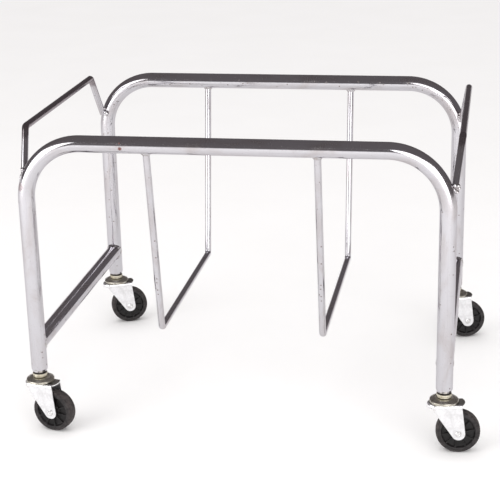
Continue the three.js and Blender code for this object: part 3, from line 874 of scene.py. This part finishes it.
def fork_mesh():
    bow = FORK_REAR - FORK_CORNER
    bow_r = (FORK_HALF ** 2 + bow ** 2) / (2 * bow)

    def rear_u(z):
        if z >= 50.7:
            return 47.48 + (FORK_CORNER - 47.48) * (z - 50.7) / (119 - 50.7)
        return TRAIL + math.sqrt(max(FORK_END_R ** 2 - (z - 50) ** 2, 0))

    def front_u(z):
        if z >= FRONT_Z:
            return -FORK_NOSE
        if z >= 41.5:
            return 20.17 + (-FORK_NOSE - 20.17) * (z - 41.5) / (FRONT_Z - 41.5)
        return TRAIL - math.sqrt(max(FORK_END_R ** 2 - (z - 50) ** 2, 0))

    flat = FORK_HALF - BEND
    # rows of the folded sheet on one side, from the middle of the crown down to the leg's tip: (v, z, kind)
    rows = [(v, FORK_TOP, "crown") for v in np.linspace(0, flat, 8)]
    rows += [(flat + BEND * math.sin(a), FORK_TOP - BEND + BEND * math.cos(a), "bend") for a in np.linspace(0, math.pi / 2, 7)[1:]]
    skirt = 14
    zs = list(np.linspace(FORK_TOP - BEND, FRONT_Z, skirt + 1)[1:]) + list(np.linspace(FRONT_Z, 50.0, 24)[1:]) + [50 - 15 * math.sin(a) for a in np.linspace(0, math.radians(85), 13)[1:]]
    rows += [(FORK_HALF, z, "leg") for z in zs]
    cols = 36
    verts, faces, index = [], [], {}

    def sunk(u0, s, z):
        """A shallow pressed hollow down the middle of each leg, dying out above the axle."""
        up = min(max((z - 66) / 26, 0), 1)
        down = min(max((117 - z) / 10, 0), 1)
        up, down = up * up * (3 - 2 * up), down * down * (3 - 2 * down)
        return up * down * (1.0 * math.exp(-((s - 0.42) / 0.15) ** 2) + 0.28 * s)

    for sgn in (-1, 1):
        for i, (v, z, kind) in enumerate(rows):
            if sgn > 0 and i == 0:
                for j in range(cols + 1):
                    index[(1, 0, j)] = index[(-1, 0, j)]
                continue
            for j in range(cols + 1):
                s = j / cols
                if kind == "leg":
                    a, b = front_u(z), rear_u(z)
                else:
                    a = -FORK_NOSE
                    b = FORK_REAR - bow_r + math.sqrt(bow_r ** 2 - v ** 2) if kind == "crown" else \
                        (FORK_REAR - bow_r + math.sqrt(bow_r ** 2 - min(v, FORK_HALF) ** 2))
                u = a + (b - a) * s
                vv = v
                if kind == "leg":
                    vv = v - sunk(u, s, z)
                    wob = 0.10 * n3(u / 16, sgn * 3, z / 16, 4)
                    vv += wob - 0.10
                index[(sgn, i, j)] = len(verts)
                verts.append((u, sgn * vv, z))
        for i in range(len(rows) - 1):
            for j in range(cols):
                q = (index[(sgn, i, j)], index[(sgn, i, j + 1)], index[(sgn, i + 1, j + 1)], index[(sgn, i + 1, j)])
                faces.append(q)
    # rounded nose: the same rows carried round a half turn. Below the bend the skirt's lower edge climbs
    # from the leg's slanted front edge to the lip, with a small notch where the two meet.
    betas = sorted(set([0, 3, 6, 9, 12, 15, 18, 21, 23.5, 25.5, 26.2, 27.4, 29.0, 30.6, 31.8, 32.5, 35, 39, 44, 50, 57, 65, 73, 81, 90]))
    betas = [math.radians(b) for b in betas + [180 - b for b in betas[-2::-1]]]
    steps = len(betas) - 1

    def skirt_low(beta):
        b = math.degrees(min(beta, math.pi - beta))
        climb = FRONT_Z + 1.45 * FORK_HALF * math.sin(math.radians(b))
        if b <= 26.2:
            return min(climb, 110.0)
        if b < 32.4:
            t = (b - 29.3) / 3.1
            return 110.0 + 3.6 * math.sqrt(max(0.0, 1 - t * t))
        return NOSE_LIP_Z + 0.5 * max(0.0, 1 - (b - 32.4) / 8)

    nose = {}
    crown_rows = [r for r in rows if r[2] != "leg"]
    count = len(crown_rows) + skirt
    for k in range(steps + 1):
        beta = betas[k]
        a = math.pi / 2 + beta
        for i in range(count):
            if k in (0, steps):
                nose[(i, k)] = index[(1 if k == 0 else -1, i, 0)]
                continue
            if i == 0:
                nose[(i, k)] = index[(1, 0, 0)]
                continue
            if i < len(crown_rows):
                v, z = crown_rows[i][0], crown_rows[i][1]
            else:
                v = FORK_HALF
                z = FORK_TOP - BEND + (skirt_low(beta) - FORK_TOP + BEND) * (i - len(crown_rows) + 1) / skirt
            nose[(i, k)] = len(verts)
            verts.append((-FORK_NOSE + v * math.cos(a) * 0.993, v * math.sin(a), z))
    for i in range(count - 1):
        for k in range(steps):
            q = [nose[(i, k)], nose[(i, k + 1)], nose[(i + 1, k + 1)], nose[(i + 1, k)]]
            q = [x for n, x in enumerate(q) if x not in q[:n]]
            if len(q) >= 3:
                faces.append(tuple(q))
    me = bpy.data.meshes.new("fork_sheet")
    me.from_pydata([tuple(c * MM for c in p) for p in verts], [], faces)
    me.validate()
    bm = bmesh.new()
    bm.from_mesh(me)
    bmesh.ops.recalc_face_normals(bm, faces=bm.faces)
    up = sum(f.normal.z for f in bm.faces if f.calc_center_median().z > (FORK_TOP - 0.2) * MM)
    if up < 0:
        bmesh.ops.reverse_faces(bm, faces=bm.faces)
    bm.to_mesh(me)
    bm.free()
    ob = bpy.data.objects.new("fork_sheet", me)
    bpy.context.scene.collection.objects.link(ob)
    so = ob.modifiers.new("thick", "SOLIDIFY")
    so.thickness, so.offset, so.use_even_offset, so.use_quality_normals = FORK_T * MM, -1.0, True, True
    cutters = []
    for axis, radius, centre in (("Y", 4.45, (TRAIL, 0, 50)), ("Z", 8.8, (0, 0, 118))):
        n = 48
        cv, cf = [], []
        for half in (-40, 40):
            for k in range(n):
                a = 2 * math.pi * k / n
                x, y = radius * math.cos(a), radius * math.sin(a)
                if axis == "Y":
                    cv.append(((centre[0] + x) * MM, half * MM, (centre[2] + y) * MM))
                else:
                    cv.append((x * MM, y * MM, (centre[2] + half * 0.2) * MM))
        for k in range(n):
            m = (k + 1) % n
            cf.append((k, m, n + m, n + k))
        cf += [tuple(reversed(range(n))), tuple(range(n, 2 * n))]
        cm = bpy.data.meshes.new("cutter")
        cm.from_pydata(cv, [], cf)
        cb = bmesh.new()
        cb.from_mesh(cm)
        bmesh.ops.recalc_face_normals(cb, faces=cb.faces)
        cb.to_mesh(cm)
        cb.free()
        co = bpy.data.objects.new("cutter", cm)
        bpy.context.scene.collection.objects.link(co)
        bo = ob.modifiers.new("hole", "BOOLEAN")
        bo.operation, bo.solver, bo.object = "DIFFERENCE", "EXACT", co
        cutters.append((co, cm))
    be = ob.modifiers.new("worn", "BEVEL")
    be.width, be.segments, be.limit_method, be.angle_limit = 0.45 * MM, 2, "ANGLE", math.radians(50)
    bpy.context.view_layer.update()
    ev = ob.evaluated_get(bpy.context.evaluated_depsgraph_get())
    out = bpy.data.meshes.new_from_object(ev)
    out.name = "fork_pressing"
    bpy.data.objects.remove(ob)
    bpy.data.meshes.remove(me)
    for co, cm in cutters:
        bpy.data.objects.remove(co)
        bpy.data.meshes.remove(cm)
    out.polygons.foreach_set("use_smooth", [True] * len(out.polygons))
    out.set_sharp_from_angle(angle=math.radians(42))
    return out


def on_y(verts):
    """A body turned about +Z laid along +Y."""
    return [(x, z, y) for x, y, z in verts]


def wheel_mesh():
    """Ribbed moulding: hub, thin web with radial ribs, raised rim band, rounded tread with a parting line."""
    half = [(7.5, 17.2, 0), (8.1, 17.5, 0), (12.2, 17.5, 0), (13.3, 17.1, 0), (13.9, 16.2, 0), (14.4, 12.0, 0), (14.9, 9.2, 0), (16.0, 8.2, 0),
            (17.5, 8.0, 1), (20, 8.0, 1), (23, 8.0, 1), (26, 8.0, 1), (29, 8.0, 1), (32, 8.0, 1), (34.5, 8.0, 1), (35.8, 8.3, 1), (36.6, 9.2, 0.8),
            (37.3, 11.5, 0.3), (37.9, 13.4, 0), (38.6, 14.3, 0), (39.5, 14.6, 0), (42.2, 14.75, 0), (43.0, 14.6, 0), (43.5, 14.2, 0), (44.0, 14.15, 0), (44.6, 14.5, 0),
            (45.4, 14.7, 0), (46.4, 14.45, 0), (47.4, 13.7, 0), (48.3, 12.5, 0), (49.0, 10.9, 0), (49.45, 9.0, 0), (49.7, 6.8, 0), (49.82, 4.2, 0), (49.86, 2.0, 0),
            (49.86, 0.55, 0), (49.98, 0.3, 0), (50.0, 0.0, 0)]
    ribs, sector = 10, 36.0
    angs = [-18, -15, -12, -9.5, -7.5, -6.0, -4.9, -3.6, -2.9, -1.5, 0, 1.5, 2.9, 3.6, 4.9, 6.0, 7.5, 9.5, 12, 15]
    cols = [math.radians(r * sector + a) for r in range(ribs) for a in angs]
    local = [a for r in range(ribs) for a in angs]
    profile = half[:-1] + [half[-1]] + [(r, -h, w) for r, h, w in reversed(half[:-1])]
    verts, rings = [], []
    for r, h, w in profile:
        ring = []
        for a, la in zip(cols, local):
            hh = h
            if w:
                top = 1.0 if abs(la) <= 2.95 else (0.12 if abs(la) <= 3.7 else 0.0)
                if abs(la) > 3.7:
                    top = 0.0
                rise = (4.6 - 0.05 * (r - 17)) * w * top
                hh = h + math.copysign(rise, h)
            wob = 0.05 * n3(r * math.cos(a) / 9, r * math.sin(a) / 9, h / 9, 6)
            ring.append(len(verts))
            rr = r + (wob * 0.5 - 0.03 if r < 49.9 else 0)
            verts.append((rr * math.cos(a), hh + math.copysign(wob * 0.6, h) * (0 if w else 1), rr * math.sin(a)))
        rings.append(ring)
    faces = []
    n = len(cols)
    for a, b in zip(rings, rings[1:] + rings[:1]):
        for k in range(n):
            m = (k + 1) % n
            faces.append((a[k], a[m], b[m], b[k]))
    return mesh_from("wheel_moulded", verts, faces, 34)


def turned_mesh(name, profile, sides, seg=4, lay=False, sharp=38.0, bump=None):
    v, f = lathe(soften(profile, seg), sides, bump)
    return mesh_from(name, on_y(v) if lay else v, f, sharp)


def socket_profile():
    return [(8.6, 141.7, 0), (15.9, 141.7, 0.5), (16.3, 142.6, 0.4), (16.0, 144.6, 0.3), (14.6, 145.2, 0.2), (14.6, 155, 0.4), (16.9, 158, 0.5), (16.9, 186, 0.8), (8.6, 186, 0)]


MESHES = {
    "fork": fork_mesh(),
    "wheel": wheel_mesh(),
    "stem_socket": turned_mesh("socket_turned", socket_profile(), 72),
    "lock_collar": turned_mesh("collar_turned", [(8.6, 132.5, 0), (15.2, 132.5, 0.5), (16.1, 133.4, 0.5), (16.1, 136.4, 0.6), (16.5, 136.9, 0.2), (17.4, 137.6, 0.5),
                                                (17.5, 140.5, 0.7), (16.6, 141.25, 0.4), (8.6, 141.25, 0)], 96),
    "raceway_cap": turned_mesh("cap_turned", [(8.6, 129.5, 0), (23.6, 129.5, 1.0), (26.6, 126.9, 1.0), (30.4, 125.7, 0.6), (31.2, 121.8, 0.2), (32.7, 121.8, 0.4), (32.8, 125.2, 0.8),
                                              (31.6, 127.4, 1.2), (28.0, 128.7, 1.4), (24.6, 130.9, 1.6), (20.5, 131.9, 1.0), (17.4, 131.4, 0.6), (8.6, 132.0, 0)], 128, 5,
                               bump=lambda r, z, a: (r + 0.06 * n3(math.cos(a) * 2, math.sin(a) * 2, z / 4, 9), z + (0.07 * n3(math.cos(a) * r / 8, math.sin(a) * r / 8, 0, 7) - 0.07 if r > 10 else 0))),
    "kingpin": turned_mesh("kingpin_turned", [(0, 112.2, 0), (8.2, 112.3, 2.0), (12.4, 114.0, 1.2), (12.9, 117.1, 0.5), (8.0, 117.15, 0.2), (8.0, 180.2, 0.6), (6.6, 183, 0.4), (0, 183, 0)], 64),
    "wheel_bush": turned_mesh("bush_turned", [(4.5, -19.1, 0.3), (7, -19.1, 0.5), (7, 19.1, 0.5), (4.5, 19.1, 0.3)], 48, lay=True),
    "axle": turned_mesh("axle_turned", [(0, -24.6, 0), (1.9, -24.7, 0.4), (2.9, -25.6, 0.5), (4.6, -25.5, 0.7), (5.6, -24.2, 0.5), (6.7, -24.0, 0.5), (7.3, -23.4, 0.3), (7.3, -22.35, 0.2), (4, -22.3, 0),
                                        (4, 22.3, 0), (7.3, 22.35, 0.2), (7.3, 23.4, 0.3), (6.7, 24.0, 0.5), (5.6, 24.2, 0.5), (4.6, 25.5, 0.7), (2.9, 25.6, 0.5), (1.9, 24.7, 0.4), (0, 24.6, 0)], 72, lay=True),
}


def race_mesh():
    v, f = lathe(soften([(18.7, 123.6, 0.3), (26.1, 123.6, 0.3), (26.1, 125.1, 0.3), (18.7, 125.1, 0.3)], 3), 96)
    verts, faces = list(v), list(f)
    for i in range(8):
        a = 2 * math.pi * (i + 0.5) / 8
        bv, bf = lathe([(3.55 * math.sin(math.pi * k / 16), -3.55 * math.cos(math.pi * k / 16)) for k in range(17)], 24)
        base = len(verts)
        verts += [(x + 22.4 * math.cos(a), y + 22.4 * math.sin(a), z + 124.35) for x, y, z in bv]
        faces += [tuple(j + base for j in face) for face in bf]
    return mesh_from("race_turned", verts, faces, 40)


MESHES["ball_race"] = race_mesh()
PARTS = [  # part, material, slot, body suffix (None is the frame), placed on
    ("stem_socket", M_SOCKET, "dark_steel", None, "fixed"),
    ("lock_collar", M_COLLAR, "yellow_zinc", None, "fixed"),
    ("raceway_cap", M_CAP, "zinc_cap", None, "fixed"),
    ("kingpin", M_STEEL, "plain_steel", None, "fixed"),
    ("ball_race", M_STEEL, "plain_steel", "race_body", "swivel"),
    ("fork", M_FORK, "zinc_fork", "swivel_body", "swivel"),
    ("axle", M_AXLE, "zinc_fork", "swivel_body", "axle"),
    ("wheel_bush", M_STEEL, "plain_steel", "swivel_body", "axle"),
    ("wheel", M_WHEEL, "black_moulding", "wheel_body", "axle"),
]
joints = {j["name"]: j for j in frame["joints"]}
for part, mat, slot, suffix, place in PARTS:
    MESHES[part].materials.clear()
    MESHES[part].materials.append(mat)
for corner in ("front_left", "front_right", "rear_left", "rear_right"):
    pos = Vector(joints[f"{corner}_swivel"]["pos_m"])
    axis = joints[f"{corner}_wheel_spin"]["axis"]
    heading = math.atan2(-axis[0], axis[1])
    fixed = Matrix.Translation((pos.x, pos.y, 0))
    swivel = fixed @ Matrix.Rotation(heading, 4, "Z")
    spin = {"front_left": 11, "front_right": 27, "rear_left": 4, "rear_right": 19}[corner]
    for part, mat, slot, suffix, place in PARTS:
        me = MESHES[part].copy()
        m = fixed if place == "fixed" else swivel
        if part in ("stem_socket", "lock_collar", "raceway_cap", "kingpin"):
            m = fixed @ Matrix.Rotation(math.radians(spin * 7), 4, "Z")
        if place == "axle":
            m = swivel @ Matrix.Translation((TRAIL * MM, 0, WHEEL_R * MM))
            if part == "wheel":
                m = m @ Matrix.Rotation(math.radians(spin), 4, "Y")
        # the turn is put into the vertices, and the piece's own coordinates are kept for its finish
        place_at = m.to_translation()
        n = len(me.vertices)
        co = np.zeros(n * 3, np.float32)
        me.vertices.foreach_get("co", co)
        own = me.attributes.new("own", "FLOAT_VECTOR", "POINT")
        own.data.foreach_set("vector", co)
        me.transform(Matrix.Translation(-place_at) @ m)
        ob = bpy.data.objects.new(f"{corner}_{part}_skin", me)
        bpy.context.scene.collection.objects.link(ob)
        ob.matrix_world = Matrix.Translation(place_at)
        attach(ob, "frame" if suffix is None else f"{corner}_{suffix}")
        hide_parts(f"{corner}_{part}")
for me in MESHES.values():
    if me.users == 0:
        bpy.data.meshes.remove(me)


# ------------------------------------------------------------------ stage, light, camera
def stage_floor():
    size = 40.0
    me = bpy.data.meshes.new("floor")
    me.from_pydata([(-size, -size, 0), (size, -size, 0), (size, size, 0), (-size, size, 0)], [], [(0, 1, 2, 3)])
    ob = bpy.data.objects.new("floor", me)
    bpy.context.scene.collection.objects.link(ob)
    g = Nodes("floor_pale")
    g.t.nodes.remove(g.bsdf)
    geo = g.object_coords()
    x, y = g.split(geo)[0], g.split(geo)[1]
    seen = g.new("ShaderNodeBsdfDiffuse")
    cloud = g.noise(geo, 3.0, 3, 0.5)
    g.link(g.mix(cloud, (0.90, 0.895, 0.885), (0.93, 0.925, 0.92)), seen.inputs["Color"])
    g.link(seen.outputs[0], g.out.inputs[0])
    me.materials.append(g.mat)


stage_floor()

world = bpy.data.worlds.new("studio")
bpy.context.scene.world = world
world.use_nodes = True
wt = world.node_tree
wt.nodes.clear()
w = Nodes.__new__(Nodes)
w.t = wt
w_out = w.new("ShaderNodeOutputWorld")
bg_room = w.new("ShaderNodeBackground")
bg_room.inputs["Color"].default_value = (0.165, 0.150, 0.155, 1)
bg_seen = w.new("ShaderNodeBackground")
bg_seen.inputs["Color"].default_value = (0.93, 0.93, 0.93, 1)
bg_seen.inputs["Strength"].default_value = 1.0
lp = w.new("ShaderNodeLightPath")
mx = w.new("ShaderNodeMixShader")
w.link(lp.outputs["Is Camera Ray"], mx.inputs[0])
w.link(bg_room.outputs[0], mx.inputs[1])
w.link(bg_seen.outputs[0], mx.inputs[2])
w.link(mx.outputs[0], w_out.inputs[0])


def area(name, loc, target, size, power, colour=(1, 1, 1), glossy=True, camera=False):
    li = bpy.data.lights.new(name, "AREA")
    li.shape, li.size, li.size_y, li.energy, li.color = "RECTANGLE", size[0], size[1], power, colour
    ob = bpy.data.objects.new(name, li)
    ob.location = loc
    ob.rotation_euler = (Vector(target) - Vector(loc)).to_track_quat("-Z", "Y").to_euler()
    ob.visible_glossy = glossy
    ob.visible_camera = camera
    bpy.context.scene.collection.objects.link(ob)
    return ob


overhead = bpy.data.lights.new("overhead", "SUN")
overhead.energy, overhead.angle = 2.45, math.radians(110)
overhead_ob = bpy.data.objects.new("overhead", overhead)
overhead_ob.location = (0, 0, 4)
overhead_ob.visible_glossy = False
bpy.context.scene.collection.objects.link(overhead_ob)


def softbox(name, azimuth, elevation, distance, size, power):
    """A soft box round the trolley. azimuth 0 is in front of it and turns towards +X."""
    a, e = math.radians(azimuth), math.radians(elevation)
    loc = Vector((math.sin(a) * math.cos(e), -math.cos(a) * math.cos(e), math.sin(e))) * distance + Vector((0, 0, 0.45))
    return area(name, loc, (0, 0, 0.45), size, power)


softbox("left_box", -48, 13.5, 4.4, (3.2, 2.9), 92)
softbox("right_box", 29, 13.5, 4.4, (4.0, 2.9), 112)

cam = bpy.data.cameras.new("camera")
cam.sensor_width, cam.sensor_fit, cam.lens = 36.0, "HORIZONTAL", 99.92
cam.clip_end = 100
cam_ob = bpy.data.objects.new("camera", cam)
bpy.context.scene.collection.objects.link(cam_ob)
yaw, pitch, roll = math.radians(10.406), math.radians(18.792), math.radians(-1.365)
fwd = Vector((-math.sin(yaw) * math.cos(pitch), math.cos(yaw) * math.cos(pitch), -math.sin(pitch)))
right = Vector((math.cos(yaw), math.sin(yaw), 0))
up = right.cross(fwd)
r2 = right * math.cos(roll) + up * math.sin(roll)
u2 = -right * math.sin(roll) + up * math.cos(roll)
m = Matrix((r2, u2, -fwd)).transposed().to_4x4()
m.translation = Vector((0.5396, -3.1999, 1.4494))
cam_ob.matrix_world = m
bpy.context.scene.camera = cam_ob
bpy.context.scene.view_settings.view_transform = "Standard"
bpy.context.scene.view_settings.look = "None"

bpy.context.view_layer.update()
